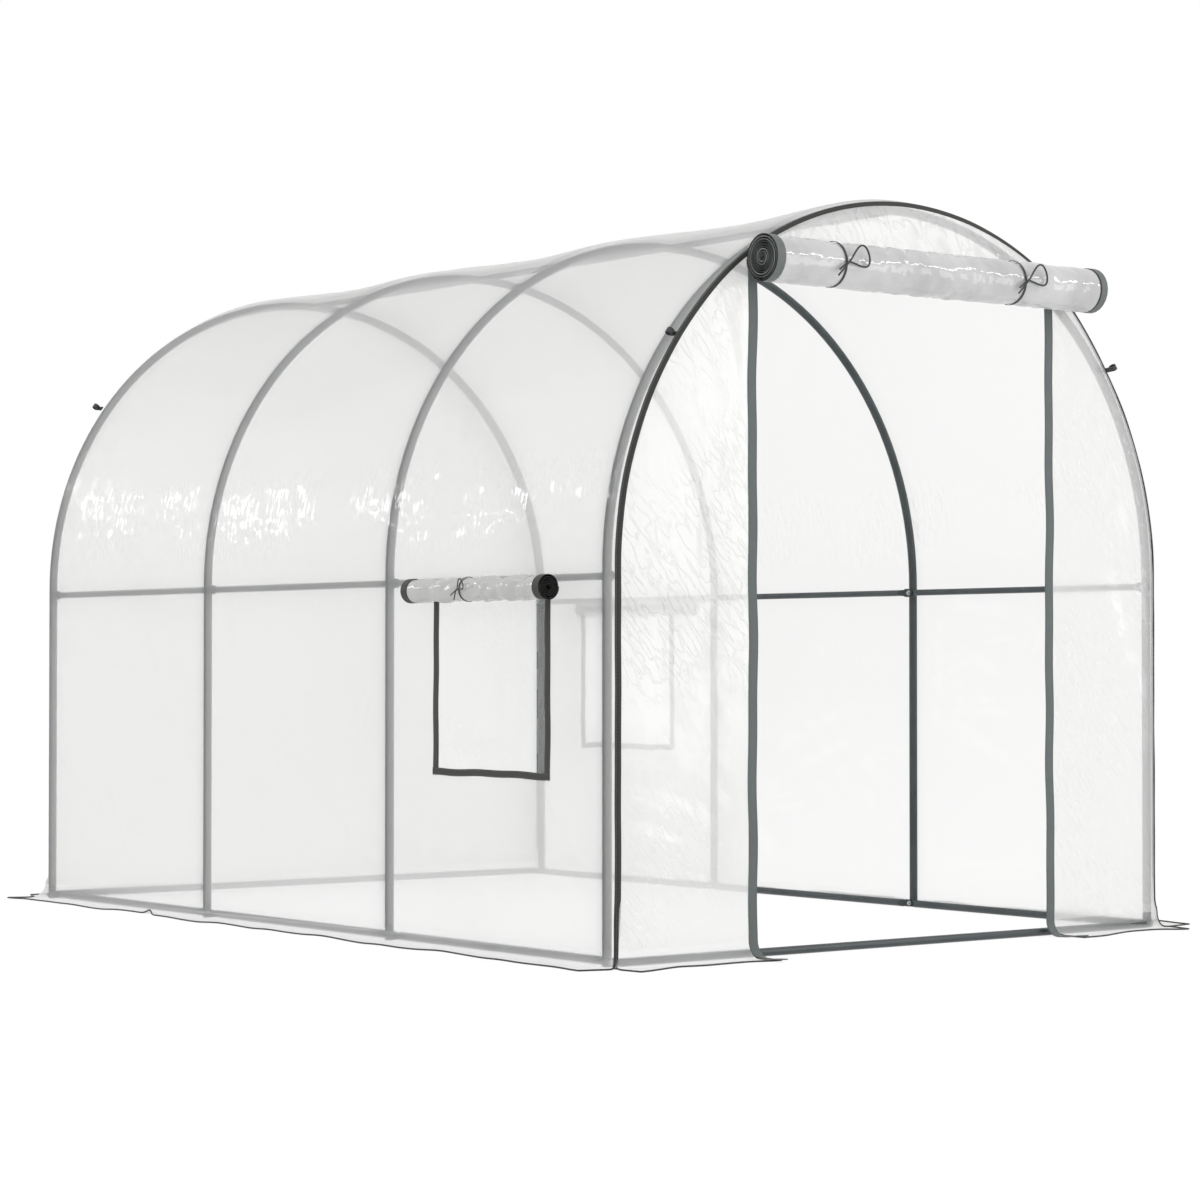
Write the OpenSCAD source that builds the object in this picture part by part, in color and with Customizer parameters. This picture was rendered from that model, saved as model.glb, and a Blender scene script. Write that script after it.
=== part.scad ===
// Polytunnel greenhouse: four steel hoops tied by rails, under a clear film cover with a
// rolled-up door at the front and a rolled-up net window in each side.
// Millimetres, +Z up. The door end faces -Y. The origin is on the ground, in the middle of the plan.

/* [Hoops] */
// Distance between the axes of a hoop's two legs
hoop_span = 1980; // [1500:10:2400]
// Height at which the arch starts to curve
spring_h = 1004; // [900:1:1300]
// Distance between neighbouring hoops
hoop_spacing = 980; // [800:10:1200]
// Outside diameter of the hoop tube
hoop_d = 25; // [20:1:32]
// Wall of the hoop tube
hoop_wall = 1.2; // [0.8:0.1:2]
// Straight tail of the arch tube below its curve
arch_tail = 59; // [50:1:100]
// Length of the swaged leg end that plugs into the arch
spigot_len = 55; // [30:1:80]
// Radial play of the swaged end in the arch tube
spigot_play = 0.2; // [0.1:0.05:0.5]

/* [Rails] */
// Outside diameter of the ridge and side rails
rail_d = 19; // [16:1:25]
// Wall of the ridge rail tube
rail_wall = 1.2; // [0.8:0.1:2]
// Drop of the side rail axis below the start of the arch
rail_drop = 19; // [15:1:40]
// Outside diameter of the base rails
base_d = 22; // [18:1:28]
// Width of a side rail's flattened end
rail_tongue_w = 26; // [20:1:30]
// Width of a base rail's flattened end
base_tongue_w = 22; // [16:1:22]
// Thickness of a flattened end
tongue_t = 2.4; // [1.6:0.1:4]
// Length of the flat from the bolt axis to the taper
tongue_land = 16; // [14:1:30]
// Length over which a tube is pressed from round to flat
taper_len = 34; // [20:1:60]

/* [Cover] */
// Thickness of the film as modelled
film_t = 2; // [1:0.5:3]
// Room between the end base rails and the end film
end_slack = 9; // [4:1:30]
// Width of the arch binding on the roof and the sides
arch_tape = 18; // [12:1:30]
// Lip of the arch binding that is folded onto the end wall
arch_lip = 5; // [4:1:12]
// How far binding tape stands out of the film on each face
tape_proud = 1; // [0.5:0.5:2]
// Inside bend radius of the film where it turns out at the ground
foot_r = 43; // [25:1:60]
// Reach of the side skirts beyond the film
side_skirt = 115; // [80:1:250]
// Reach of the end skirts beyond the film
end_skirt = 138; // [138:1:250]

/* [Door] */
// Clear width of the doorway between its bindings
door_w = 1065; // [800:5:1150]
// Drop of the doorway's top edge below the crown of the hoops
door_drop = 194; // [190:1:400]
// Width of the binding tape beside the doorway
door_tape = 30; // [20:1:50]
// Radius of the rolled-up door
door_roll_r = 63.5; // [50:0.5:64]
// How much longer the rolled-up door is than the doorway is wide
door_roll_over = 155; // [100:5:250]
// How far the roll hangs off centre
door_roll_shift = 40; // [0:5:60]
// Drop of the roll's axis below the crown of the hoops
door_roll_drop = 182; // [150:1:300]
// Turns in the rolled-up door
door_turns = 9; // [5:1:11]
// Distance of the door ties from the middle
door_tie_x = 330; // [200:5:450]

/* [Windows] */
// Width of a window over its binding
window_w = 526; // [400:2:640]
// Height of a window over its binding
window_h = 507; // [300:1:600]
// Drop of the window's top edge below the start of the arch
window_drop = 34; // [20:1:150]
// Width of the binding tape at the sides and top of a window
window_tape = 28; // [15:1:40]
// Width of the binding tape at the bottom of a window
window_sill = 20; // [15:1:40]
// Thickness of the insect net as modelled
net_t = 1.5; // [0.8:0.1:2]
// Radius of a rolled-up window
window_roll_r = 34; // [25:1:40]
// How much longer a rolled-up window is than the window is wide
window_roll_over = 99; // [60:1:130]
// Drop of the window roll's axis below the start of the arch
window_roll_drop = 44; // [40:1:150]
// Turns in a rolled-up window
window_turns = 5; // [3:1:6]

/* [Trim] */
// Width of the dark tape at both ends of each roll
end_tape = 28; // [15:1:40]
// Width of a tie around a roll
tie_w = 8; // [3:1:12]
// Thickness of a tie
tie_t = 1.2; // [0.8:0.1:2]
// How far a tie's bow stands out from the tie
bow_depth = 5; // [3:0.5:6]
// Length of the bow's loop on the door
door_bow = 68; // [30:1:90]
// Length of the bow's loop on a window
window_bow = 30; // [20:1:40]
// How far the window tie sits from the middle of its roll
window_tie_shift = 40; // [0:5:150]
// Angle of the guy loops above the arch's springing
guy_angle = 36.6; // [20:0.1:60]
// Radius of a guy loop's eye
guy_eye_r = 8; // [5:0.5:12]
// Thickness of the guy loop's webbing
guy_t = 2.5; // [1.5:0.5:4]
// Width of the guy loop's webbing
guy_w = 14; // [8:1:25]

/* [Hidden] */
$fn = 96;
// Segments of the wide curves: hoops, roof and end walls
wide_fn = 360;
// Clearance between pieces that are bolted or stretched together
seat = 0.3;
// Pressed rail ends: rise of the flat over the tube, depth of the taper's tip in the flat, and the
// share of the taper over which the flared edges fade out
flat_rise = 0.2;
bite = 0.5;
flare_share = 0.8;
bays = 3;
hoop_r = hoop_span / 2;
tube_r = hoop_d / 2;
end_hoop = bays * hoop_spacing / 2;
joint_z = spring_h - arch_tail;
hoop_y = [for (i = [0:bays]) i * hoop_spacing - end_hoop];
crown_z = spring_h + hoop_r;
rail_z = spring_h - rail_drop;
door_h = crown_z - door_drop;
door_roll_z = crown_z - door_roll_drop;
window_z = spring_h - window_drop - window_h;
window_roll_z = spring_h - window_roll_drop;
// Side film and end film: inner and outer faces
side_in = hoop_r + tube_r + seat;
side_out = side_in + film_t;
end_in = end_hoop + tube_r + seat + flat_rise + base_d + end_slack;
end_out = end_in + film_t;
// Where the films stop and the arch binding takes over
side_end = end_out - arch_tape;
end_r = side_out - arch_lip;
foot_top = film_t + foot_r;
door_edge = door_w / 2 + door_tape;
tape_t = film_t + 2 * tape_proud;
roll_gap = tie_t + 2 * seat;
door_roll_y = -(end_out + roll_gap + door_roll_r);
window_roll_x = side_out + tape_proud + roll_gap + window_roll_r;
window_y = (bays - 1) * hoop_spacing / 2;
door_roll_len = door_w + door_roll_over;
window_roll_len = window_w + window_roll_over;
// Winding of the rolls: core radius, share of a turn in the outer lap, points in a turn
core_r = 8;
last_lap = 0.5;
spiral_steps = 24;
// Bows: angle between points, waist as a share of the length, lean of the loop, depth let into the
// tie, and each tail's angle and share of the length
bow_step = 15;
bow_waist = 0.5;
loop_lean = 24;
bow_sink = 0.6;
tails = [[-146, 0.4], [-134, 0.72]];

steel = [0.29, 0.34, 0.35];
film = [0.93, 0.94, 0.94, 0.35];
tape = [0.24, 0.26, 0.25];
net = [0.85, 0.87, 0.87, 0.6];

// Hoops

module leg(hoop, side) {
    color(steel) translate([side * hoop_r, hoop_y[hoop - 1], 0]) {
        difference() {
            union() {
                cylinder(h = joint_z, r = tube_r);
                cylinder(h = joint_z + spigot_len, r = tube_r - hoop_wall - spigot_play);
            }
            translate([0, 0, -1])
                cylinder(h = joint_z + spigot_len + 2, r = tube_r - 2 * hoop_wall - spigot_play);
        }
    }
}

module arch(hoop) {
    color(steel) translate([0, hoop_y[hoop - 1], spring_h]) {
        rotate([90, 0, 0]) rotate_extrude(angle = 180, $fn = wide_fn) translate([hoop_r, 0])
            tube_section($fn = 48);
        for (side = [-1, 1]) translate([side * hoop_r, 0, -arch_tail])
            linear_extrude(arch_tail) tube_section();
    }
}

module tube_section() {
    difference() {
        circle(r = tube_r);
        circle(r = tube_r - hoop_wall);
    }
}

// Rails

// One flattened end: the bolt axis is at the origin, the tube lies towards +X and the flat faces +Z.
// The tube is pressed down to the flat, whose edges flare out beside it. A lapped end sits one
// thickness deeper, on the neighbour's flat.
module pressed_end(d, width, lapped) {
    top = d / 2 + flat_rise - lapped * (tongue_t + seat);
    fade = tongue_land + flare_share * taper_len;
    translate([0, 0, top - tongue_t]) linear_extrude(tongue_t) {
        circle(d = width);
        polygon([[0, -width / 2], [tongue_land, -width / 2], [fade, -tongue_t],
                 [fade, tongue_t], [tongue_land, width / 2], [0, width / 2]]);
    }
    intersection() {
        translate([tongue_land, 0, 0]) rotate([0, 90, 0]) cylinder(h = taper_len, d = d);
        rotate([90, 0, 0]) linear_extrude(2 * d, center = true)
            polygon([[tongue_land, top - tongue_t + bite], [tongue_land + taper_len, -d],
                     [tongue_land + taper_len, d], [tongue_land, top - bite]]);
    }
}

module rail(length, d, width, lapped) {
    end = tongue_land + taper_len;
    translate([end, 0, 0]) rotate([0, 90, 0]) cylinder(h = length - 2 * end, d = d);
    pressed_end(d, width, lapped);
    translate([length, 0, 0]) mirror([1, 0, 0]) pressed_end(d, width, 0);
}

// Rails of one long side, lapped on the inner faces of the legs
module long_rails(side, d, width, z) {
    x = side * (hoop_r - tube_r - seat - flat_rise - d / 2);
    color(steel) for (bay = [0:bays - 1])
        translate([x, hoop_y[bay], z]) rotate([0, 0, 90]) rotate([side * 90, 0, 0])
            rail(hoop_spacing, d, width, bay == 0 ? 0 : 1);
}

// Base rail across one end, lapped on the outer faces of the legs
module end_rail(end) {
    y = end * (end_hoop + tube_r + seat + flat_rise + base_d / 2);
    color(steel) translate([-hoop_r, y, base_d / 2]) rotate([end * 90, 0, 0])
        rail(hoop_span, base_d, base_tongue_w, 0);
}

module ridge_rails() {
    color(steel) for (bay = [0:bays - 1]) translate([0, hoop_y[bay], crown_z]) difference() {
        rotate([-90, 0, 0]) cylinder(h = hoop_spacing, d = rail_d);
        translate([0, -1, 0]) rotate([-90, 0, 0]) cylinder(h = hoop_spacing + 2, d = rail_d - 2 * rail_wall);
        for (y = [0, hoop_spacing]) translate([-rail_d, y, 0]) rotate([0, 90, 0])
            cylinder(h = 2 * rail_d, r = tube_r + seat);
    }
}

// Film cover

module roof_sheet() {
    color(film) translate([0, 0, spring_h]) difference() {
        rotate([90, 0, 0]) cylinder(h = 2 * side_end, r = side_out, center = true, $fn = wide_fn);
        rotate([90, 0, 0]) cylinder(h = 2 * side_end + 2, r = side_in, center = true, $fn = wide_fn);
        translate([-2 * side_out, -2 * side_end, -2 * side_out])
            cube([4 * side_out, 4 * side_end, 2 * side_out]);
    }
}

module side_sheet(side) {
    color(film) rotate([0, 0, side < 0 ? 0 : 180]) difference() {
        translate([-side_out, -side_end, foot_top]) cube([film_t, 2 * side_end, spring_h - foot_top]);
        translate([-side_out - 1, -window_y - window_w / 2, window_z]) cube([film_t + 2, window_w, window_h]);
    }
}

// Outline of an end wall above the foot bend, drawn in X and Z
module end_outline(r) {
    translate([0, spring_h]) circle(r = r, $fn = wide_fn);
    translate([-r, foot_top]) square([2 * r, spring_h - foot_top]);
}

// Upright sheet of the given thickness whose middle lies in an end wall's film
module upright(end, thickness) {
    translate([0, end * (end_in + film_t / 2), 0]) rotate([90, 0, 0])
        linear_extrude(thickness, center = true) children();
}

module end_band(x0, x1, z0) {
    intersection() {
        end_outline(end_r - seat);
        translate([x0, z0]) square([x1 - x0, spring_h + side_out]);
    }
}

module rear_sheet() {
    color(film) upright(1, film_t) end_band(-side_out, side_out, foot_top);
}

module front_sheet_side(side) {
    color(film) upright(-1, film_t) mirror([side < 0 ? 0 : 1, 0])
        end_band(-side_out, -door_edge, foot_top);
}

module front_sheet_top() {
    color(film) upright(-1, film_t) end_band(-door_w / 2, door_w / 2, door_h);
}

// Film bent out from the wall and laid on the ground, in section: the wall's inner face is at x = 0
module skirt_section(reach, proud) {
    centre = film_t + foot_r;
    translate([centre, centre]) intersection() {
        difference() {
            circle(r = foot_r + film_t);
            circle(r = foot_r - proud);
        }
        translate([-2 * centre, -2 * centre]) square(2 * centre);
    }
    translate([centre, 0]) square([film_t + reach - centre, film_t + proud]);
}

module side_skirt_strip(side) {
    color(film) rotate([0, 0, side < 0 ? 180 : 0]) translate([side_in, side_end, 0])
        rotate([90, 0, 0]) linear_extrude(2 * side_end) skirt_section(side_skirt, 0);
}

// Skirt of an end wall between two places along X
module end_skirt_strip(end, x0, x1, proud) {
    rotate([0, 0, end < 0 ? 0 : 180]) translate([x0, -end_in, 0])
        rotate([90, 0, -90]) mirror([0, 0, 1]) linear_extrude(x1 - x0) skirt_section(end_skirt, proud);
}

// Binding tape

// Section of the tape on an arch corner, drawn as radius and distance along Y: a band that faces out
// with a lip folded onto the end wall
module corner_section() {
    polygon([[side_in, side_end], [side_in, end_in], [end_r, end_in],
             [end_r, end_out + tape_proud], [side_out, end_out + tape_proud],
             [side_out + tape_proud, end_out], [side_out + tape_proud, side_end]]);
}

module arch_binding(end) {
    color(tape) rotate([0, 0, end < 0 ? 0 : 180]) {
        translate([0, 0, spring_h]) rotate([90, 0, 0]) rotate_extrude(angle = 180, $fn = wide_fn)
            corner_section();
        for (side = [0, 1]) mirror([side, 0, 0]) mirror([0, 1, 0]) linear_extrude(spring_h) corner_section();
    }
}

module door_binding(side) {
    color(tape) mirror([side < 0 ? 0 : 1, 0, 0]) {
        upright(-1, tape_t) end_band(-door_edge, -door_w / 2, foot_top);
        end_skirt_strip(-1, -door_edge, -door_w / 2, tape_proud);
    }
}

module window_binding(side) {
    middle = side_in + film_t / 2;
    color(tape) rotate([0, 0, side < 0 ? 0 : 180]) translate([-middle, -window_y, window_z]) difference() {
        translate([-tape_t / 2, -window_w / 2, 0]) cube([tape_t, window_w, window_h]);
        translate([-tape_t, window_tape - window_w / 2, window_sill])
            cube([2 * tape_t, window_w - 2 * window_tape, window_h - window_sill - window_tape]);
    }
}

module window_net(side) {
    middle = side_in + film_t / 2;
    color(net) rotate([0, 0, side < 0 ? 0 : 180])
        translate([-middle - net_t / 2, window_tape - window_w / 2 - window_y, window_z + window_sill])
            cube([net_t, window_w - 2 * window_tape, window_h - window_sill - window_tape]);
}

// Rolled-up door and windows

// Section of a sheet wound up from the core out to the given radius, with its last lap held round
function wound(outer, turns, depth) = [for (i = [0:turns * spiral_steps])
    let (a = 360 * i / spiral_steps, grown = i / ((turns - last_lap) * spiral_steps),
         r = min(outer, core_r + (outer - core_r) * grown) - depth)
    [r * cos(a), r * sin(a)]];

module wound_section(outer, turns) {
    inner = wound(outer, turns, film_t);
    last = len(inner) - 1;
    polygon(concat(wound(outer, turns, 0), [for (i = [0:last]) inner[last - i]]));
}

// Roll along X, from one end to the other
module roll(outer, turns, x0, x1) {
    translate([x0, 0, 0]) rotate([90, 0, 90]) linear_extrude(x1 - x0) wound_section(outer, turns);
}

module at_door_roll() {
    translate([door_roll_shift, door_roll_y, door_roll_z]) children();
}

module at_window_roll(side) {
    rotate([0, 0, side < 0 ? 0 : 180]) translate([-window_roll_x, -window_y, window_roll_z])
        rotate([0, 0, -90]) children();
}

module door_roll() {
    reach = door_roll_len / 2 - end_tape;
    color(film) at_door_roll() roll(door_roll_r, door_turns, -reach, reach);
}

module window_roll(side) {
    reach = window_roll_len / 2 - end_tape;
    color(film) at_window_roll(side) roll(window_roll_r, window_turns, -reach, reach);
}

module end_tapes(outer, turns, length) {
    roll(outer, turns, -length / 2, end_tape - length / 2);
    roll(outer, turns, length / 2 - end_tape, length / 2);
}

module roll_end_tapes() {
    color(tape) {
        at_door_roll() end_tapes(door_roll_r, door_turns, door_roll_len);
        for (side = [-1, 1]) at_window_roll(side) end_tapes(window_roll_r, window_turns, window_roll_len);
    }
}

// Outline of a bow's loop, drawn from the knot out along X
function loop_outline(length) = [for (a = [0:bow_step:359])
    [length * (1 - cos(a)) / 2, bow_waist * length * sin(a) * (1 - cos(a)) / 2]];

// Bow of a tied tape, drawn in the plane of the knot: one loop and two tails
module bow_outline(length) {
    circle(d = tie_w);
    rotate(loop_lean) difference() {
        polygon(loop_outline(length));
        translate([2 * tie_t, 0]) polygon(loop_outline(length - 3 * tie_t));
    }
    for (tail = tails) rotate(tail[0]) translate([0, -tie_t / 2]) square([tail[1] * length, tie_t]);
}

// Tape once round a roll along X and tied in a bow on the side away from the wall
module tie(outer, bow) {
    ring_r = outer + seat + tie_t;
    rotate([0, 90, 0]) difference() {
        cylinder(h = tie_w, r = ring_r, center = true);
        cylinder(h = 2 * tie_w, r = outer + seat, center = true);
    }
    translate([0, bow_sink - ring_r, 0]) rotate([90, 0, 0]) linear_extrude(bow_depth + bow_sink)
        bow_outline(bow);
}

module roll_ties() {
    color(tape) {
        for (x = [-door_tie_x, door_tie_x]) translate([x - door_roll_shift, 0, 0])
            at_door_roll() tie(door_roll_r, door_bow);
        for (side = [-1, 1]) at_window_roll(side) translate([-window_tie_shift, 0, 0])
            tie(window_roll_r, window_bow);
    }
}

// Webbing eyes for guy lines, standing straight out from the arch binding
module guy_loops() {
    eye_r = side_out + tape_proud + seat + guy_t + guy_eye_r;
    band_y = side_end + arch_tape / 2;
    color(tape) for (end = [0, 180], side = [0, 1]) rotate([0, 0, end]) mirror([side, 0, 0])
        translate([0, 0, spring_h]) rotate([0, -guy_angle, 0]) translate([eye_r, -band_y, 0]) difference() {
            cylinder(h = guy_w, r = guy_eye_r + guy_t, center = true);
            cylinder(h = 2 * guy_w, r = guy_eye_r, center = true);
        }
}

leg(1, -1);  // hoop_1_left_leg
leg(1, 1);  // hoop_1_right_leg
arch(1);  // hoop_1_arch
leg(2, -1);  // hoop_2_left_leg
leg(2, 1);  // hoop_2_right_leg
arch(2);  // hoop_2_arch
leg(3, -1);  // hoop_3_left_leg
leg(3, 1);  // hoop_3_right_leg
arch(3);  // hoop_3_arch
leg(4, -1);  // hoop_4_left_leg
leg(4, 1);  // hoop_4_right_leg
arch(4);  // hoop_4_arch
ridge_rails();
long_rails(-1, rail_d, rail_tongue_w, rail_z);  // left_side_rails
long_rails(1, rail_d, rail_tongue_w, rail_z);  // right_side_rails
long_rails(-1, base_d, base_tongue_w, base_d / 2);  // left_base_rails
long_rails(1, base_d, base_tongue_w, base_d / 2);  // right_base_rails
end_rail(-1);  // front_base_rail
end_rail(1);  // rear_base_rail
roof_sheet();
side_sheet(-1);  // left_side_sheet
side_sheet(1);  // right_side_sheet
front_sheet_side(-1);  // front_sheet_left
front_sheet_side(1);  // front_sheet_right
front_sheet_top();
rear_sheet();
side_skirt_strip(-1);  // left_skirt
side_skirt_strip(1);  // right_skirt
color(film) end_skirt_strip(-1, seat - end_r, -door_edge, 0);  // front_skirt_left
color(film) end_skirt_strip(-1, door_edge, end_r - seat, 0);  // front_skirt_right
color(film) end_skirt_strip(1, seat - end_r, end_r - seat, 0);  // rear_skirt
arch_binding(-1);  // front_arch_binding
arch_binding(1);  // rear_arch_binding
door_binding(-1);  // door_binding_left
door_binding(1);  // door_binding_right
window_binding(-1);  // left_window_binding
window_binding(1);  // right_window_binding
window_net(-1);  // left_window_net
window_net(1);  // right_window_net
door_roll();
window_roll(-1);  // left_window_roll
window_roll(1);  // right_window_roll
roll_end_tapes();
roll_ties();
guy_loops();
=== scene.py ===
import math

import bpy
import numpy as np
from mathutils import Matrix, Vector


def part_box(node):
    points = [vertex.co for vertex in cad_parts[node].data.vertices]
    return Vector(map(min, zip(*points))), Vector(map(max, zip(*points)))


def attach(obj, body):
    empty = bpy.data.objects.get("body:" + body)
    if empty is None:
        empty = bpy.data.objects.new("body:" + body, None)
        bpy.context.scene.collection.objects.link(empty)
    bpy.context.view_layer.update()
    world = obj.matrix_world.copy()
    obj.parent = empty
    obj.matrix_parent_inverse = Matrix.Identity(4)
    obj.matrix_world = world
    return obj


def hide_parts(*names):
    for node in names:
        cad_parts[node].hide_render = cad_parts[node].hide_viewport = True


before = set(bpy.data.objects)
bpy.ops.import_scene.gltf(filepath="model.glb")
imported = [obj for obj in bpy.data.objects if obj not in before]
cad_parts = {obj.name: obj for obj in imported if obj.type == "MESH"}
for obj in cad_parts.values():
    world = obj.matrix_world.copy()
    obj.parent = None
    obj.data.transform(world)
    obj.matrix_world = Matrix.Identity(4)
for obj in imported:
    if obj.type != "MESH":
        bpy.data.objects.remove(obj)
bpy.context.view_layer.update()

# Studio: a plain pale floor, a white backdrop and soft lamps, with the camera at the photograph's place.
# A long soft box stands behind on the left, where the film mirrors it, and the key is at the front right.
# A thin box at the top right draws the line of light on the door roll, and a wide one lights the roof.

camera_place = (-5.8848, -7.7769, 0.7648)
camera_yaw = math.radians(37.687)
camera_pitch = math.radians(1.138)
camera_lens = 95.0
ambient = 0.95
floor_half = 40.0
floor_drop = 0.0006
floor_white = 0.80
floor_colour = (0.90, 0.90, 0.90, 1)


class Wire:
    """One output socket of a node tree. Arithmetic on it adds Math nodes; node() adds any other node."""

    def __init__(self, tree, socket=None):
        self.tree, self.socket = tree, socket

    def node(self, kind, settings=None, **sockets):
        made = self.tree.nodes.new(kind)
        for name, value in (settings or {}).items():
            setattr(made, name, value)
        for name, value in sockets.items():
            index = name.lstrip("_")
            target = made.inputs[int(index) if index.isdigit() else name.replace("_", " ")]
            for one in value if isinstance(value, list) else [value]:
                if isinstance(one, Wire):
                    self.tree.links.new(one.socket, target)
                else:
                    target.default_value = one
        return Wire(self.tree, made.outputs[0] if made.outputs else None)

    def out(self, name):
        return Wire(self.tree, self.socket.node.outputs[name])

    def math(self, operation, first, second):
        return self.node("ShaderNodeMath", {"operation": operation}, _0=first, _1=second)

    def __add__(self, other):
        return self.math("ADD", self, other)

    def __radd__(self, other):
        return self.math("ADD", other, self)

    def __sub__(self, other):
        return self.math("SUBTRACT", self, other)

    def __rsub__(self, other):
        return self.math("SUBTRACT", other, self)

    def __mul__(self, other):
        return self.math("MULTIPLY", self, other)

    def __rmul__(self, other):
        return self.math("MULTIPLY", other, self)

    def __pow__(self, other):
        return self.math("POWER", self, other)

    def most(self, other):
        return self.math("MAXIMUM", self, other)

    def least(self, other):
        return self.math("MINIMUM", self, other)

    def ramp(self, low, high):
        """0 below low, 1 above high, smooth between."""
        return self.node("ShaderNodeMapRange", {"interpolation_type": "SMOOTHSTEP"},
                         Value=self, From_Min=low, From_Max=high)

    def mix(self, first, second):
        """A colour from first, where this is 0, to second, where it is 1."""
        made = self.node("ShaderNodeMix", {"data_type": "RGBA"}, _0=self, _6=first, _7=second)
        return made.out(2)


def backdrop_seen(root):
    """1 for rays that show the backdrop: from the camera, a gloss or through glass."""
    path = root.node("ShaderNodeLightPath")
    return path.out("Is Camera Ray").most(path.out("Is Glossy Ray")).most(path.out("Is Transmission Ray"))


def new_material(name):
    material = bpy.data.materials.new(name)
    material.use_nodes = True
    material.node_tree.nodes.clear()
    return material, Wire(material.node_tree)


def blend(share, first, second):
    """A surface from first, where the share is 0, to second, where it is 1."""
    return first.node("ShaderNodeMixShader", _0=share, _1=first, _2=second)


def shown(material, surface):
    """The material, with that surface as its output."""
    surface.node("ShaderNodeOutputMaterial", Surface=surface)
    return material


def plain_mesh(name, points, faces, material):
    mesh = bpy.data.meshes.new(name)
    mesh.from_pydata([tuple(p) for p in points], [], [tuple(f) for f in faces])
    mesh.materials.append(material)
    mesh.update()
    piece = bpy.data.objects.new(name, mesh)
    bpy.context.scene.collection.objects.link(piece)
    return piece


def soft_box(name, place, aim, width, height, radiance):
    lamp = bpy.data.lights.new(name, "AREA")
    lamp.shape, lamp.size, lamp.size_y = "RECTANGLE", width, height
    lamp.energy = radiance * width * height * math.pi
    box = bpy.data.objects.new(name, lamp)
    box.location = place
    box.rotation_euler = (Vector(aim) - Vector(place)).to_track_quat("-Z", "Y").to_euler()
    box.visible_camera = False
    bpy.context.scene.collection.objects.link(box)


camera_data = bpy.data.cameras.new("camera")
camera_data.lens = camera_lens
camera_data.sensor_width = 36.0
camera = bpy.data.objects.new("camera", camera_data)
camera.location = camera_place
camera.rotation_euler = (math.pi / 2 + camera_pitch, 0, -camera_yaw)
bpy.context.scene.collection.objects.link(camera)
bpy.context.scene.camera = camera
bpy.context.scene.view_settings.view_transform = "Standard"

world = bpy.data.worlds.new("backdrop")
world.use_nodes = True
world.node_tree.nodes.clear()
bpy.context.scene.world = world
sky = Wire(world.node_tree)
sky_level = ambient + (1 - ambient) * backdrop_seen(sky)
sky.node("ShaderNodeOutputWorld",
         Surface=sky.node("ShaderNodeBackground", Color=(1, 1, 1, 1), Strength=sky_level))

floor_material, root = new_material("studio floor")
floor_light = root.node("ShaderNodeEmission", Color=(1, 1, 1, 1), Strength=1.06)
floor_matt = root.node("ShaderNodeBsdfDiffuse", Color=floor_colour)
shown(floor_material, blend(backdrop_seen(root) * floor_white, floor_matt, floor_light))
corners = [(x * floor_half, y * floor_half, -floor_drop) for x, y in ((-1, -1), (1, -1), (1, 1), (-1, 1))]
floor = plain_mesh("studio_floor", corners, [(0, 1, 2, 3)], floor_material)

soft_box("key_box", (3.1, -6.6, 1.7), (0, -1.5, 1.0), 3.4, 2.6, 1.6)
soft_box("back_left_box", (-3.3, 4.4, 2.62), (-0.9, 0.1, 1.3), 3.6, 0.35, 4.5)
soft_box("top_right_box", (4.1, -5.3, 4.14), (0, -1.58, 1.81), 3.0, 0.35, 9.0)
soft_box("top_left_box", (-3.5, 0.5, 6.0), (-0.5, 0.0, 1.8), 4.0, 3.0, 1.2)

# Steel hoops and rails: thin-walled tube with a satin slate powder coat.
# The legs plug into the arches, and the rails' pressed ends are bolted to the legs.

slate_deep = (0.020, 0.030, 0.033, 1)
slate_pale = (0.031, 0.043, 0.046, 1)


def object_place(root):
    return root.node("ShaderNodeTexCoord").out("Object")


def noise(place, scale, detail):
    return place.node("ShaderNodeTexNoise", Vector=place, Scale=scale, Detail=detail)


def bump(height, strength, distance):
    return height.node("ShaderNodeBump", Strength=strength, Distance=distance, Height=height)


def powder_coat():
    """Satin coat, a little mottled, with the fine peel of sprayed powder."""
    material, root = new_material("slate powder coat")
    place = object_place(root)
    mottle = noise(place, 9.0, 4.0)
    tone = mottle.ramp(0.35, 0.65).mix(slate_deep, slate_pale)
    peel = bump(noise(place, 700.0, 2.0), 0.15, 0.0004)
    coat = root.node("ShaderNodeBsdfPrincipled", Base_Color=tone, Roughness=0.30 + 0.16 * mottle,
                     Coat_Weight=0.25, Coat_Roughness=0.12, Normal=peel)
    return shown(material, coat)


steel = powder_coat()
hoop_count = 4
legs = {(i, side): f"hoop_{i}_{side}_leg" for i in range(1, hoop_count + 1) for side in ("left", "right")}
arches = [f"hoop_{i}_arch" for i in range(1, hoop_count + 1)]
rails = ["ridge_rails", "left_side_rails", "right_side_rails", "left_base_rails", "right_base_rails",
         "front_base_rail", "rear_base_rail"]
for name in [*legs.values(), *arches, *rails]:
    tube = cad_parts[name]
    tube.data.materials.clear()
    tube.data.materials.append(steel)

# Bolts: zinc-plated M6 bolts with a washer and a hexagon nut, one through each pressed rail end.
# The nuts sit on the inside of the legs, and on the outside of the end base rails.

washer_r, washer_h = 0.0075, 0.0012
nut_r, nut_h = 0.0060, 0.0048
stud_r, stud_h = 0.0029, 0.0080
tongue, seat = 0.0024, 0.0003
hoop_y = [sum(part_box(legs[i, "left"])[k].y for k in (0, 1)) / 2 for i in range(1, hoop_count + 1)]


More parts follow.
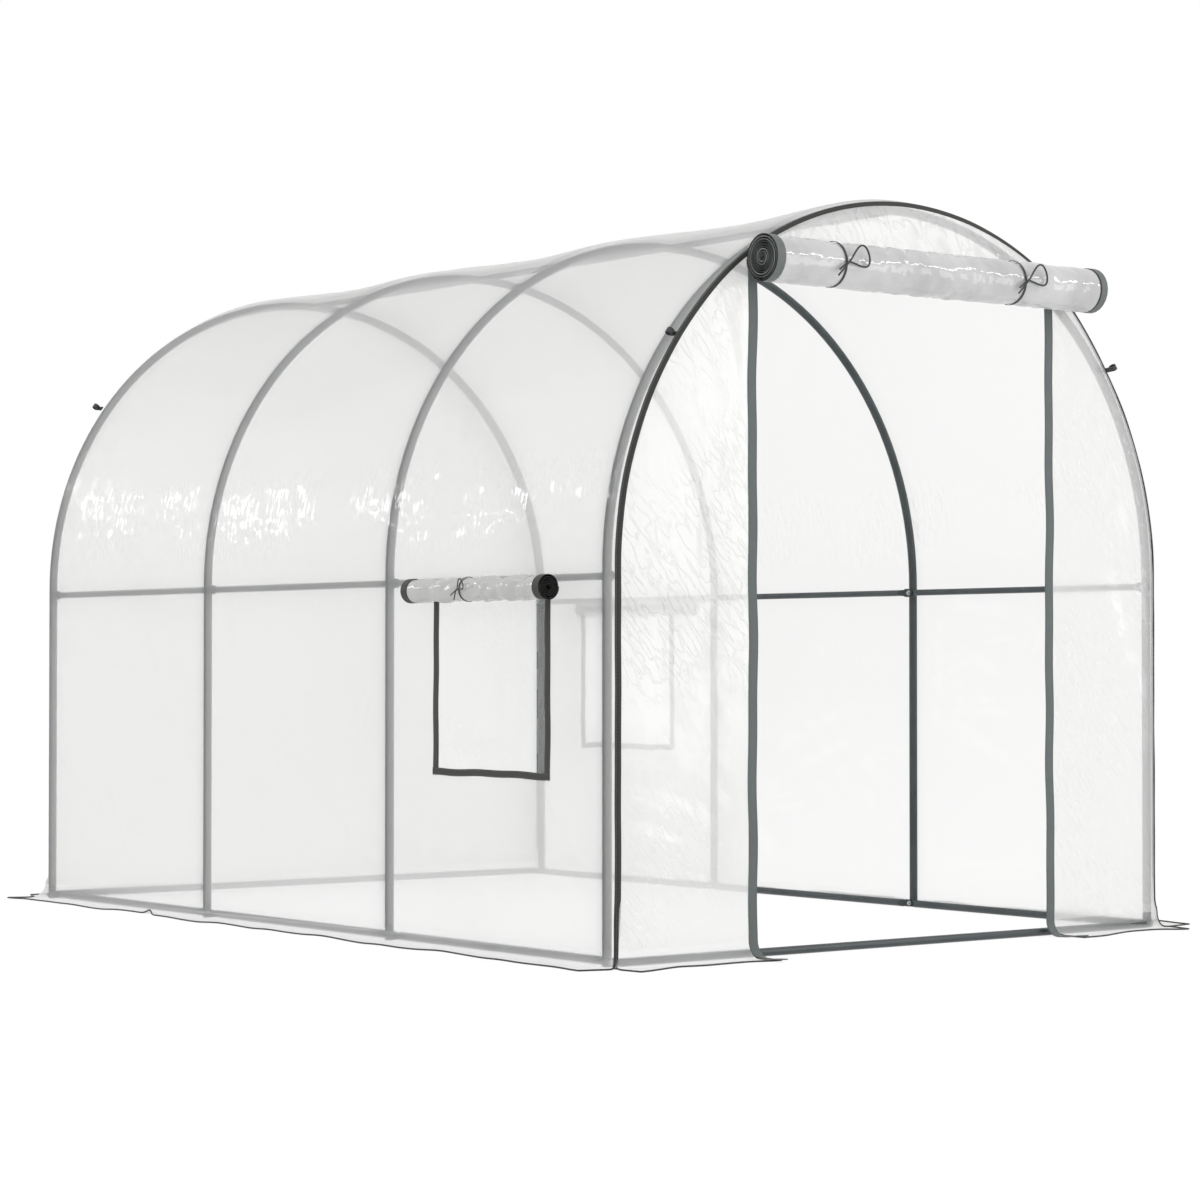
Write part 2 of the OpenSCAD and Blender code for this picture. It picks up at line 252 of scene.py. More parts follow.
def zinc_plate():
    material, root = new_material("bright zinc")
    bloom = noise(object_place(root), 420.0, 3.0)
    plate = root.node("ShaderNodeBsdfPrincipled", Metallic=1.0, Roughness=0.25 + 0.2 * bloom,
                      Base_Color=bloom.mix((0.42, 0.43, 0.44, 1), (0.62, 0.63, 0.63, 1)))
    return shown(material, plate)


def geometry_tree(name, sizes):
    """An empty geometry tree with a named number input for each size, a material input and one output."""
    tree = bpy.data.node_groups.new(name, "GeometryNodeTree")
    tree.interface.new_socket("Geometry", in_out="INPUT", socket_type="NodeSocketGeometry")
    for size in sizes:
        tree.interface.new_socket(size, in_out="INPUT", socket_type="NodeSocketFloat")
    tree.interface.new_socket("Material", in_out="INPUT", socket_type="NodeSocketMaterial")
    tree.interface.new_socket("Geometry", in_out="OUTPUT", socket_type="NodeSocketGeometry")
    return tree, Wire(tree).node("NodeGroupInput")


def tree_output(inputs, instances):
    real = inputs.node("GeometryNodeRealizeInstances", Geometry=instances)
    coloured = inputs.node("GeometryNodeSetMaterial", Geometry=real, Material=inputs.out("Material"))
    inputs.node("NodeGroupOutput", Geometry=coloured)


def grown(name, tree, seed_mesh, sizes, material):
    """Runs a geometry tree on a seed mesh and keeps the result as a plain mesh."""
    piece = bpy.data.objects.new(name, seed_mesh)
    bpy.context.scene.collection.objects.link(piece)
    modifier = piece.modifiers.new("grow", "NODES")
    modifier.node_group = tree
    inputs = {s.name: s.identifier for s in tree.interface.items_tree if s.in_out == "INPUT"}
    for label, value in {**sizes, "Material": material}.items():
        modifier[inputs[label]] = value
    graph = bpy.context.evaluated_depsgraph_get()
    mesh = bpy.data.meshes.new_from_object(piece.evaluated_get(graph))
    piece.modifiers.clear()
    piece.data = mesh
    return piece


def bolt_tree():
    tree, inputs = geometry_tree("bolt on points", ["Washer radius", "Washer height", "Nut radius",
                                                    "Nut height", "Stud radius", "Stud height"])
    stack = []
    for label, sides in (("Washer", 20), ("Nut", 6), ("Stud", 12)):
        height = inputs.out(label + " height")
        turned = inputs.node("GeometryNodeMeshCylinder", Vertices=sides, Radius=inputs.out(label + " radius"),
                             Depth=height)
        lift = inputs.node("ShaderNodeCombineXYZ", Z=0.5 * height)
        stack.append(inputs.node("GeometryNodeTransform", Geometry=turned, Translation=lift))
    bolt = inputs.node("GeometryNodeJoinGeometry", Geometry=stack)
    facing = inputs.node("GeometryNodeInputNamedAttribute", {"data_type": "FLOAT_VECTOR"}, Name="facing")
    turn = inputs.node("FunctionNodeAlignRotationToVector", {"axis": "Z"}, Vector=facing)
    placed = inputs.node("GeometryNodeInstanceOnPoints", Points=inputs, Instance=bolt, Rotation=turn)
    tree_output(inputs, placed)
    return tree


def seed_points(name, places, facing):
    mesh = bpy.data.meshes.new(name)
    mesh.from_pydata([tuple(p) for p in places], [], [])
    attribute = mesh.attributes.new("facing", "FLOAT_VECTOR", "POINT")
    attribute.data.foreach_set("vector", np.array(facing, float).ravel())
    return mesh


def declare(piece, slot, *nodes):
    """Fixes a piece to the part, in place of the CAD nodes that it stands for."""
    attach(piece, "root")
    if nodes:
        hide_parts(*nodes)


bolt_places, bolt_facing = [], []
side_rail_z = sum(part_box("left_side_rails")[k].z for k in (0, 1)) / 2
base_rail_z = sum(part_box("left_base_rails")[k].z for k in (0, 1)) / 2
for (i, side), name in legs.items():
    low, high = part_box(name)
    inward = 1 if side == "left" else -1
    tongues = 1 if i in (1, hoop_count) else 2
    face = (high.x if inward > 0 else low.x) + inward * tongues * (tongue + seat)
    for z in (side_rail_z, base_rail_z):
        bolt_places.append((face, hoop_y[i - 1], z))
        bolt_facing.append((inward, 0, 0))
for leg_pair, outward in ((1, -1), (hoop_count, 1)):
    for side in ("left", "right"):
        low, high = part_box(legs[leg_pair, side])
        face = (low.y if outward < 0 else high.y) + outward * (tongue + seat)
        bolt_places.append(((low.x + high.x) / 2, face, base_rail_z))
        bolt_facing.append((0, outward, 0))
bolts = grown("rail_bolts", bolt_tree(), seed_points("rail_bolts", bolt_places, bolt_facing), {
    "Washer radius": washer_r, "Washer height": washer_h, "Nut radius": nut_r, "Nut height": nut_h,
    "Stud radius": stud_r, "Stud height": stud_h}, zinc_plate())
declare(bolts, "coated_steel")

# Film cover, roof and sides: clear polythene, milky to look through, pulled over the hoops in one piece.
# It lies on the hoops, hangs in a little between them, is loose at the crown, and keeps its packing creases.

film_t = 0.0006
film_reflect = (0.91, 0.91, 0.90, 1)
film_passed = (0.95, 0.95, 0.935, 1)
film_gloss, film_gloss_most = 1.5, 0.12
haze_ior = 1.03
roof_low, roof_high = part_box("roof_sheet")
foot_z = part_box("left_side_sheet")[0].z
spring_z = roof_low.z
cover_r = roof_high.x - 0.001
end_y = (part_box("rear_sheet")[0].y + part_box("rear_sheet")[1].y) / 2
bay = hoop_y[1] - hoop_y[0]
stand = -0.0007
hang = 0.014
front_flare, front_draw, rear_draw, foot_draw = 0.017, 0.028, 0.0315, 0.020
flare_top = 0.078
bend_over = 0.0137
crown_lift, crown_dip = 0.014, 0.008
roof_rows = 172
cell = 0.0115


def smooth(value, low, high):
    t = np.clip((value - low) / (high - low), 0, 1)
    return t * t * (3 - 2 * t)


def component(vector, axis):
    return vector.node("ShaderNodeSeparateXYZ", Vector=vector).out(axis)


def film_material(name, clear, haze, through, surface):
    """Milky film: part goes straight through, part through with a small spread, part is scattered through or
    thrown back, and a gloss lies over it. surface(place) gives the height, the share of gloss and the share
    that is creased white."""
    material, root = new_material(name)
    height, share, creased = surface(object_place(root))
    crinkle = bump(height, 1.0, 1.0)
    body = root.node("ShaderNodeBsdfPrincipled", Base_Color=film_reflect, Roughness=0.5,
                     Specular_IOR_Level=0.0, Normal=crinkle)
    glow = root.node("ShaderNodeBsdfTranslucent", Color=film_passed)
    milky = blend(through, body, glow)
    spread = root.node("ShaderNodeBsdfRefraction", Color=(1, 1, 1, 1), Roughness=1.0, IOR=haze_ior)
    hazy = blend(haze / (1 - clear) * (1 - creased), milky, spread)
    clear_part = root.node("ShaderNodeBsdfTransparent", Color=(1, 1, 1, 1))
    film = blend(clear * (1 - creased), hazy, clear_part)
    mirror = root.node("ShaderNodeBsdfPrincipled", Base_Color=(0.95, 0.95, 0.95, 1), Metallic=1.0,
                       Roughness=0.12, Normal=crinkle)
    shine = (film_gloss * root.node("ShaderNodeFresnel", IOR=1.5)).least(film_gloss_most)
    glossy = blend(shine * share, film, mirror)
    behind = root.node("ShaderNodeNewGeometry").out("Backfacing")
    return shown(material, blend(behind, glossy, clear_part))


def flecked(place):
    """Calm film, creased at the shoulder: patches of short upright strokes, and squiggles below them."""
    height = component(place, "Z")
    zone = height.ramp(1.05, 1.10) * (1 - height.ramp(1.28, 1.34))
    low = 1 - height.ramp(1.15, 1.19)
    patch = noise(place, 3.1, 1.0)
    stroke = noise(place.node("ShaderNodeMapping", Vector=place, Scale=(30.0, 74.0, 20.0)), 1.0, 2.0)
    swell = noise(place, 20.0, 0.0)
    upper = (1 - low) * patch.ramp(0.36, 0.52) * stroke.ramp(0.50, 0.57)
    under = low * patch.ramp(0.48, 0.56) * stroke.ramp(0.48, 0.54)
    share = 0.25 * (1 - zone) + zone * (0.04 + 0.96 * (upper + under))
    return zone * swell * (0.0045 + 0.0045 * low), share, 0.0


def folded(place):
    """Film with thin folds that lean to the left, in patches, and a few white creases."""
    patch = noise(place, 2.6, 0.0).ramp(0.36, 0.54)
    leaned = place.node("ShaderNodeVectorRotate", {"rotation_type": "Y_AXIS"}, Vector=place, Angle=0.70)
    wave = noise(place.node("ShaderNodeMapping", Vector=leaned, Scale=(52.0, 52.0, 15.0)), 1.0, 1.0)
    valley = place.math("ABSOLUTE", wave - 0.5, 0.0)
    return 0.021 * (0.2 + 0.8 * patch) * valley.least(0.045), 1.0, 0.4 * patch * (1 - valley.ramp(0.0, 0.022))


def creases(u, v, seed, count, length, width, depth, lean):
    """Shallow folds of packed film: short waves at random places, as a distance off the surface."""
    rng = np.random.default_rng(seed)
    total = np.zeros_like(u)
    for _ in range(count):
        du, dv = u - rng.uniform(u.min(), u.max()), v - rng.uniform(v.min(), v.max())
        turn = lean + rng.normal(0, 0.55)
        along = du * math.cos(turn) + dv * math.sin(turn)
        across = dv * math.cos(turn) - du * math.sin(turn)
        reach, wave = length * rng.uniform(0.5, 1.5), width * rng.uniform(0.6, 1.4)
        fade = np.exp(-(along / reach) ** 2 - (across / (1.3 * wave)) ** 2)
        total += depth * rng.uniform(0.3, 1.0) * np.cos(math.tau * across / wave) * fade
    return total


def sheet_piece(name, points, material, inside, kept=None, seams=()):
    """A thin closed sheet on a grid of points. At edges named in seams it thins out into the next sheet."""
    rows, columns = points.shape[:2]
    normal = np.cross(np.gradient(points, axis=0), np.gradient(points, axis=1))
    normal /= np.maximum(np.linalg.norm(normal, axis=2, keepdims=True), 1e-12)
    outward = (normal * (points - np.array(inside))).sum() > 0
    normal = normal if outward else -normal
    index = np.arange(rows * columns).reshape(rows, columns)
    cells = np.stack([index[:-1, :-1], index[1:, :-1], index[1:, 1:], index[:-1, 1:]], axis=2)
    cells = cells[np.ones((rows - 1, columns - 1), bool) if kept is None else kept]
    cells = cells if outward else cells[:, ::-1]
    edges = np.concatenate([cells[:, [k, (k + 1) % 4]] for k in range(4)])
    count = rows * columns
    rim = edges[~np.isin(edges[:, 0] * count + edges[:, 1], edges[:, 1] * count + edges[:, 0])]
    borders = {"low": index[0], "high": index[-1]}
    joined = np.concatenate([borders[seam] for seam in seams]) if seams else np.array([], int)
    rim = rim[~np.isin(rim, joined).all(axis=1)]
    under = np.arange(count) + count
    under[joined] = joined
    half = np.full(count, film_t / 2)
    half[joined] = 0
    half = half.reshape(rows, columns, 1)
    a, b = rim[:, 0], rim[:, 1]
    faces = np.concatenate([cells, under[cells[:, ::-1]], np.stack([b, a, under[a], under[b]], axis=1)])
    solid = np.concatenate([(points + normal * half).reshape(-1, 3), (points - normal * half).reshape(-1, 3)])
    used, faces = np.unique(faces, return_inverse=True)
    faces = [tuple(dict.fromkeys(face)) for face in faces.reshape(-1, 4).tolist()]
    piece = plain_mesh(name, solid[used], faces, material)
    piece.data.shade_smooth()
    piece.data.set_sharp_from_angle(angle=math.radians(60))
    return piece


def end_line(sign, x, z):
    """How far the end wall is from the middle. Above its base rail the rear is drawn in to the hoop; the
    front stands out at the left corner and is drawn in at the right one."""
    risen = smooth(z, foot_z, flare_top)
    if sign > 0:
        return end_y - foot_draw - risen * (rear_draw - foot_draw)
    drawn = foot_draw + risen * (front_draw - foot_draw)
    return end_y + front_flare * smooth(-x, 0.50, 0.85) - drawn * smooth(x, 0.50, 0.85)


def to_ends(x, y, z):
    """Shifts the outer strip of the cover's grid so that it reaches the end walls."""
    past = smooth(np.abs(y), hoop_y[-1] - 0.06, end_y)
    return y + past * np.where(y < 0, end_y - end_line(-1, x, z), end_line(1, x, z) - end_y)


def rear_bend(y, z):
    """How far the cover turns in round the last hoop, where it is drawn tight."""
    over = np.clip(y - hoop_y[-1], 0, bend_over - 0.0002) * smooth(z, foot_z, flare_top)
    return bend_over - np.sqrt(bend_over ** 2 - over ** 2)


def hang_in(y, hold):
    """How far the film stands off its own line: proud on each hoop, drawn in between them."""
    dip = np.abs(np.sin(np.pi * (y - hoop_y[0]) / bay)) ** 1.4 * (np.abs(y) < hoop_y[-1])
    return stand * smooth(end_y - np.abs(y), 0.0, end_y - hoop_y[-1]) - hang * dip * hold


def off_hoops(y):
    """0 on a hoop, 1 well away from it."""
    return smooth(np.abs((y - hoop_y[0] + bay / 2) % bay - bay / 2), 0.014, 0.060)


def lines(*stops):
    """Grid lines about one cell apart that pass through each stop."""
    parts = [np.linspace(a, b, max(5, round((b - a) / cell) + 1))[:-1] for a, b in zip(stops, stops[1:])]
    return np.append(np.concatenate(parts), stops[-1])


def declare_film(piece, node, flat):
    declare(piece, "clear_film", node)


film = film_material("clear cover film", 0.24, 0.34, 0.75, flecked)
tunnel_middle = (0, 0, spring_z)

y_lines = lines(-end_y, hoop_y[0], hoop_y[-1], end_y)
angle, y = np.meshgrid(np.linspace(0, np.pi, roof_rows), y_lines, indexing="ij")
from_crown = np.abs(angle - np.pi / 2)
hold = smooth(from_crown, 0.0, 0.33) * (1 - 0.5 * smooth(from_crown, 0.8, np.pi / 2))
arc = cover_r * (angle - np.pi / 2)
edge_fade = smooth(end_y - np.abs(y), 0.0, 0.06) * smooth(np.pi / 2 - from_crown, 0.0, 0.08)
off = hang_in(y, hold) + edge_fade * off_hoops(y) * (creases(arc, y, 11, 200, 0.10, 0.060, 0.0004, 0.2)
                                                     + creases(arc, y, 12, 60, 0.22, 0.18, 0.0012, 0.6))
lift = crown_lift - crown_dip * np.sin(np.pi * (y - hoop_y[0]) / bay) ** 2
off += lift * np.exp(-(from_crown / 0.5) ** 2) * smooth(end_y - np.abs(y), 0.0, 0.045)
y = to_ends(-cover_r * np.cos(angle), y, spring_z)
off -= rear_bend(y, spring_z)
points = np.stack([-(cover_r + off) * np.cos(angle), y, spring_z + (cover_r + off) * np.sin(angle)], axis=2)
roof = sheet_piece("roof_film", points, film, tunnel_middle, seams=("low", "high"))
declare_film(roof, "roof_sheet", (np.pi * cover_r, 2 * end_y))


def side_hang(y, z):
    return hang_in(y, 0.5 * smooth(z, foot_z, 0.75 * spring_z)) * smooth(z, foot_z, 0.3)


def side_film(side, seed):
    sign = -1 if side == "left" else 1
    low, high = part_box(side + "_window_binding")
    y_lines = lines(-end_y, hoop_y[0], low.y, high.y, hoop_y[-1], end_y)
    z, y = np.meshgrid(lines(foot_z, low.z, high.z, spring_z), y_lines, indexing="ij")
    beyond = np.maximum.reduce([low.y - y, y - high.y, low.z - z, z - high.z])
    fade = smooth(end_y - np.abs(y), 0.0, 0.06) * smooth(z, foot_z, 0.12) * smooth(spring_z - z, 0.0, 0.08)
    folds = creases(z, y, seed, 150, 0.09, 0.05, 0.0007, 0.7)
    folds += creases(z, y, seed + 1, 40, 0.20, 0.15, 0.0018, 0.9)
    off = side_hang(y, z) + fade * off_hoops(y) * smooth(beyond, 0.0, 0.05) * folds
    mid_z, mid_y = (z[:-1, :-1] + z[1:, 1:]) / 2, (y[:-1, :-1] + y[1:, 1:]) / 2
    opening = (mid_z > low.z) & (mid_z < high.z) & (mid_y > low.y) & (mid_y < high.y)
    y = to_ends(sign * cover_r, y, z)
    x = sign * (cover_r + off - rear_bend(y, z))
    piece = sheet_piece(side + "_side_film", np.stack([x, y, z], axis=2), film, tunnel_middle, kept=~opening,
                        seams=("low", "high"))
    size = (spring_z - foot_z, 2 * end_y)
    declare_film(piece, side + "_side_sheet", size)


side_film("left", 21)
side_film("right", 31)

# End walls: the same film, cut to the arch and sewn to the roof under the arch binding.
# The front has a panel on each side of the doorway and one over it; the rear wall is one piece.

front_r = cover_r - 0.001
rear_r = cover_r - 0.0118
door_low, door_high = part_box("door_binding_left")[1].x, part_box("door_binding_right")[0].x
door_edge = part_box("door_binding_right")[1].x
door_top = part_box("front_sheet_top")[0].z
belly = 0.003
flat_rim = 0.016
wall_film = film_material("clear wall film", 0.19, 0.20, 0.45, folded)


def arch_z(x, radius):
    return spring_z + np.sqrt(np.maximum(radius ** 2 - x ** 2, 0))


def end_film(name, node, sign, radius, x0, x1, z0, seed, count):
    x = np.linspace(x0, x1, max(12, round((x1 - x0) / cell)))
    rows = round((arch_z(0, radius) - z0) / cell) if x0 * x1 < 0 else round(1.4 * spring_z / cell)
    x, share = np.meshgrid(x, np.linspace(0, 1, rows))
    top = arch_z(x, radius)
    z = z0 + share * (top - z0)
    from_edge = np.minimum.reduce([x - x0, x1 - x, top - z])
    fade = smooth(from_edge, flat_rim, 0.06) * smooth(z, foot_z, foot_z + 0.05)
    off = fade * (belly * np.sin(2.2 * x + 3.1 * z + seed)
                  + creases(x, z, seed, count, 0.085, 0.034, 0.0004, 2.2)
                  + creases(x, z, seed + 1, count // 4, 0.20, 0.12, 0.0010, 2.1))
    wide = x * (1 + (front_r / radius - 1) * (1 - smooth(z, foot_z, flare_top)))
    points = np.stack([wide, sign * (end_line(sign, x, z) + off), z], axis=2)
    piece = sheet_piece(name, points, wall_film, tunnel_middle, seams=("low",) if z0 == foot_z else ())
    declare_film(piece, node, (x1 - x0, float(top.max()) - z0))


end_film("front_film_left", "front_sheet_left", -1, front_r, -front_r, -door_edge, foot_z, 41, 110)
end_film("front_film_right", "front_sheet_right", -1, front_r, door_edge, front_r, foot_z, 51, 110)
end_film("front_film_top", "front_sheet_top", -1, front_r, door_low, door_high, door_top, 61, 60)
end_film("rear_film", "rear_sheet", 1, rear_r, -rear_r, rear_r, foot_z, 71, 170)

# Ground skirts: the cover's film turned out at the foot and laid on the ground, to be weighted with soil.
# The loose edge waves and is bound with a narrow dark hem; the corners are split and splay apart.

foot_r = foot_z - 0.001
foot_reach = 0.026
skirt_cell = 0.010
bend_rows, flat_rows = 10, 12
hem_r = 0.0023
tight_corner = 0.4
hem_sides = 8
hem_lift, hem_sway = 0.0036, 0.003
pucker_lift, pucker_draw = 0.011, 0.012
weave_scale = 850.0
olive_deep = (0.013, 0.015, 0.011, 1)
olive_pale = (0.024, 0.026, 0.021, 1)


def tape_material(name, deep, pale):
    """Woven polyester tape: fine ribs, uneven dye, a soft sheen."""
    material, root = new_material(name)
    place = object_place(root)
    weave = noise(place, weave_scale, 1.0)
    tone = (0.6 * noise(place, 24.0, 4.0) + 0.4 * weave).mix(deep, pale)
    cloth = root.node("ShaderNodeBsdfPrincipled", Base_Color=tone, Roughness=0.55 + 0.2 * weave,
                      Sheen_Weight=0.15, Normal=bump(weave, 0.5, 0.0004))
    return shown(material, cloth)


def unit(vectors):
    return vectors / np.linalg.norm(vectors, axis=-1, keepdims=True)


def swept(name, path, normals, section, material, closed=False):
    """A closed solid whose section, anticlockwise (across, off) pairs, follows a path with a face normal.
    A list with one section for each point of the path lets the section change on the way."""
    path, normals = np.asarray(path, float), np.asarray(normals, float)
    if closed:
        tangent = np.roll(path, -1, axis=0) - np.roll(path, 1, axis=0)
    else:
        tangent = np.gradient(path, axis=0)
    tangent = unit(tangent)
    across = unit(np.cross(tangent, normals))
    off = np.cross(across, tangent)
    rings = np.asarray(section, float)
    rings = (rings if rings.ndim == 3 else rings[None])[:, ::-1]
    points = path[:, None] + across[:, None] * rings[..., :1] + off[:, None] * rings[..., 1:]
    n, m = len(path), rings.shape[1]
    index = np.arange(n * m).reshape(n, m)
    after = np.roll(index, -1, axis=0) if closed else index[1:]
    before = index if closed else index[:-1]
    faces = np.stack([before, np.roll(before, -1, axis=1), np.roll(after, -1, axis=1), after], axis=2)
    faces = [tuple(f) for f in faces.reshape(-1, 4)]
    if not closed:
        faces += [tuple(index[0][::-1]), tuple(index[-1])]
    piece = plain_mesh(name, points.reshape(-1, 3), faces, material)
    piece.data.shade_smooth()
    piece.data.set_sharp_from_angle(angle=math.radians(50))
    return piece


def round_section(radius, sides):
    return [(radius * math.cos(math.tau * k / sides), radius * math.sin(math.tau * k / sides))
            for k in range(sides)]


def skirt(name, node, place, span, corners, reaches, seed, puckers=(), tight=(1, 1)):
    """place(along, out, up) puts a point in the frame. For each end of the span, corners has how far the cut
    edge is shifted along at the foot of the bend and at the hem, reaches has how far out the hem is, and
    tight has how far the bend is opened."""
    start, end = span
    along = np.linspace(start, end, round((end - start) / skirt_cell))
    bend = np.linspace(0, np.pi / 2, bend_rows)[:, None]
    flat = np.linspace(0, 1, flat_rows)[1:, None]
    part = (along - start) / (end - start)
    rng = np.random.default_rng(seed)
    lift, shift = np.zeros_like(along), np.zeros_like(along)
    for wave in (0.29, 0.53, 0.9):
        phase, phase_out = rng.uniform(0, math.tau, 2)
        lift += (1 + np.sin(math.tau * along / wave + phase)) ** 2 / 4 * hem_lift * wave ** 0.5
        shift += hem_sway * np.sin(math.tau * along / wave + phase_out)
    lift *= smooth(np.minimum(along - start, end - along), 0.0, 0.12)
    for spot in puckers:
        lift += pucker_lift * np.exp(-((along - spot) / 0.018) ** 2)
        shift -= pucker_draw * np.exp(-((along - spot) / 0.030) ** 2)
    reach = reaches[0] + (reaches[1] - reaches[0]) * part + shift
    foot_out = foot_r * (1 - (1 - tight[0]) * (1 - part) ** 3) * (1 - (1 - tight[1]) * part ** 3)
    out = np.concatenate([foot_out * (1 - np.cos(bend)), foot_out + flat * (reach - foot_out)])
    up = np.concatenate([foot_z - foot_r * np.sin(bend) + 0 * along, foot_z - foot_r + flat ** 1.5 * lift])
    spread = along + 0 * out
    for (foot, hem), far, near in ((corners[0], reaches[0], 1 - part), (corners[1], reaches[1], part)):
        spread = spread + near ** 5 * np.interp(out, [0, foot_reach, far], [0, foot, hem])
    points = place(spread, out, up)
    piece = sheet_piece(name, points, film, (0, 0, -50.0), seams=("low",))
    declare_film(piece, node, (sum(reaches) / 2 + 0.6 * foot_r, end - start))
    edge = np.concatenate([points[bend_rows - 3:, 0], points[-1, 1:-1], points[bend_rows - 3:, -1][::-1]])
    hem = swept(name + "_hem", edge + np.array([0, 0, hem_r - 0.0005]), np.tile((0, 0, 1.0), (len(edge), 1)),
                round_section(hem_r, hem_sides), olive_tape)
    declare(hem, "arch_tape")


def beside_wall(sign):
    return lambda along, out, up: np.stack([sign * (cover_r + out), along, up], axis=2)


def before_end(sign):
    return lambda along, out, up: np.stack([along, sign * (end_line(sign, along, 0.0) + out), up], axis=2)


olive_tape = tape_material("olive binding tape", olive_deep, olive_pale)
left_front_y, right_front_y = -end_line(-1, -cover_r, 0.0), -end_line(-1, cover_r, 0.0)
rear_y = end_line(1, 0.0, 0.0)
skirt("left_skirt_film", "left_skirt", beside_wall(-1), (left_front_y, rear_y),
      ((-0.024, 0.008), (0.025, 0.061)), (0.126, 0.097), 81, puckers=(0.634,))
skirt("right_skirt_film", "right_skirt", beside_wall(1), (right_front_y, rear_y),
      ((-0.026, -0.004), (0.025, 0.050)), (0.132, 0.118), 82, tight=(tight_corner, 1))
skirt("front_skirt_film_left", "front_skirt_left", before_end(-1), (-cover_r, -door_edge),
      ((-0.026, -0.015), (0.0, 0.020)), (0.109, 0.104), 83)
skirt("front_skirt_film_right", "front_skirt_right", before_end(-1), (door_edge, cover_r),
      ((0.0, 0.006), (0.026, 0.005)), (0.113, 0.121), 84, tight=(1, tight_corner))
skirt("rear_skirt_film", "rear_skirt", before_end(1), (-cover_r, cover_r), ((-0.026, 0.018), (0.026, 0.020)),
      (0.136, 0.145), 85)

# Arch bindings: dark woven tape sewn over the seam between the roof and each end wall.
# It runs up one corner, over the arch and down the other, with a lip on the end wall. The front one goes
# down to the ground, and the rear one stops above the bend of the skirts.

arch_tape_t = 0.0018
front_band, front_lip, front_lip_right = 0.010, 0.010, 0.0030
rear_band, rear_lip, rear_tape_foot = 0.0030, 0.0150, 0.09
lip_at_foot = 0.0010
tape_seat = 0.0005
stitch_pitch, stitch_length, stitch_r = 0.0085, 0.0055, 0.0004
stitch_at = 0.38


def tape_section(width, thick, crown):
    half, lip = width / 2, thick / 2
    top = [(half, lip), (half * 0.45, lip + crown * 0.8), (0, lip + crown), (-half * 0.45, lip + crown * 0.8),
           (-half, lip)]
    return top + [(-half, -lip), (0, -lip), (half, -lip)]


def corner_section(band, lip, thick, sign):
    """A band that faces out, whose edge at the end wall is folded down as a lip."""
    outline = [(-band, 0), (0, 0), (0, -lip), (thick, -lip), (thick, 0.4 * thick), (0.4 * thick, thick),
               (-band / 2, 1.3 * thick), (-band, thick)]
    return outline if sign < 0 else [(-a, o) for a, o in outline[::-1]]


def stitch_tree():
    tree, inputs = geometry_tree("stitches along lines", ["Pitch", "Length", "Radius"])
    rows = inputs.node("GeometryNodeMeshToCurve", Mesh=inputs)
    spots = inputs.node("GeometryNodeCurveToPoints", {"mode": "LENGTH"}, Curve=rows,
                        Length=inputs.out("Pitch"))
    thread = inputs.node("GeometryNodeMeshCylinder", Vertices=6, Radius=inputs.out("Radius"),
                         Depth=inputs.out("Length"))
    tree_output(inputs, inputs.node("GeometryNodeInstanceOnPoints", Points=spots, Instance=thread,
                                    Rotation=spots.out("Rotation")))
    return tree


def thread_material():
    material, root = new_material("polyester thread")
    ply = noise(object_place(root), 1400.0, 1.0)
    tone = ply.mix((0.10, 0.11, 0.10, 1), (0.20, 0.21, 0.20, 1))
    yarn = root.node("ShaderNodeBsdfPrincipled", Base_Color=tone, Roughness=0.6,
                     Normal=bump(ply, 0.4, 0.0002))
    return shown(material, yarn)


def stitched(name, rows, slot):
    """Rows of stitches: each row is a list of points on the tape's face."""
    mesh = bpy.data.meshes.new(name)
    starts = np.cumsum([0] + [len(r) for r in rows])
    edges = [(a + k, a + k + 1) for a, r in zip(starts, rows) for k in range(len(r) - 1)]
    mesh.from_pydata([tuple(p) for r in rows for p in r], edges, [])
    piece = grown(name, stitches, mesh, {"Pitch": stitch_pitch, "Length": stitch_length, "Radius": stitch_r},
                  thread)
    declare(piece, slot)


def beside(path, normals, across, off):
    side = unit(np.cross(np.gradient(path, axis=0), normals))
    return path + side * across + normals * off


def wander(rng, run, size, waves):
    """How far a sewn tape strays from its line."""
    return sum(size * np.sin(math.tau * run / w + rng.uniform(0, math.tau)) for w in waves)


def run_along(path):
    return np.concatenate([[0], np.cumsum(np.linalg.norm(np.diff(path, axis=0), axis=1))])


def corner_run(sign, hand):
    """The binding's line and face normals from the ground up one corner to the springing. The front one turns
    to the corner's diagonal near the ground."""
    diagonal = np.array((hand, sign, 0)) / math.sqrt(2)
    bend = np.linspace(math.radians(78), 0, 14)[:-1]
    upright = np.linspace(foot_z, spring_z, 84)[:-1]
    opened = math.sqrt(2) * tight_corner if (sign, hand) == (-1, 1) else 1.0
    out = np.concatenate([opened * foot_r * (1 - np.cos(bend)), 0 * upright])
    z = np.concatenate([foot_z - foot_r * np.sin(bend), upright])
    tilt = np.concatenate([bend, 0 * upright])
    y = sign * end_line(sign, hand * cover_r, z)
    x = hand * (cover_r + film_t / 2 + tape_seat - (rear_bend(y, z) if sign > 0 else 0)) + diagonal[0] * out
    turned = smooth(0.20 - z, 0.0, 0.15)[:, None] * (sign < 0)
    level = unit((1 - turned) * np.array((hand, 0, 0)) + turned * diagonal)
    normals = level * np.cos(tilt)[:, None] + np.array((0, 0, 1.0)) * np.sin(tilt)[:, None]
    return np.stack([x, y + diagonal[1] * out, z + tape_seat], axis=1), normals


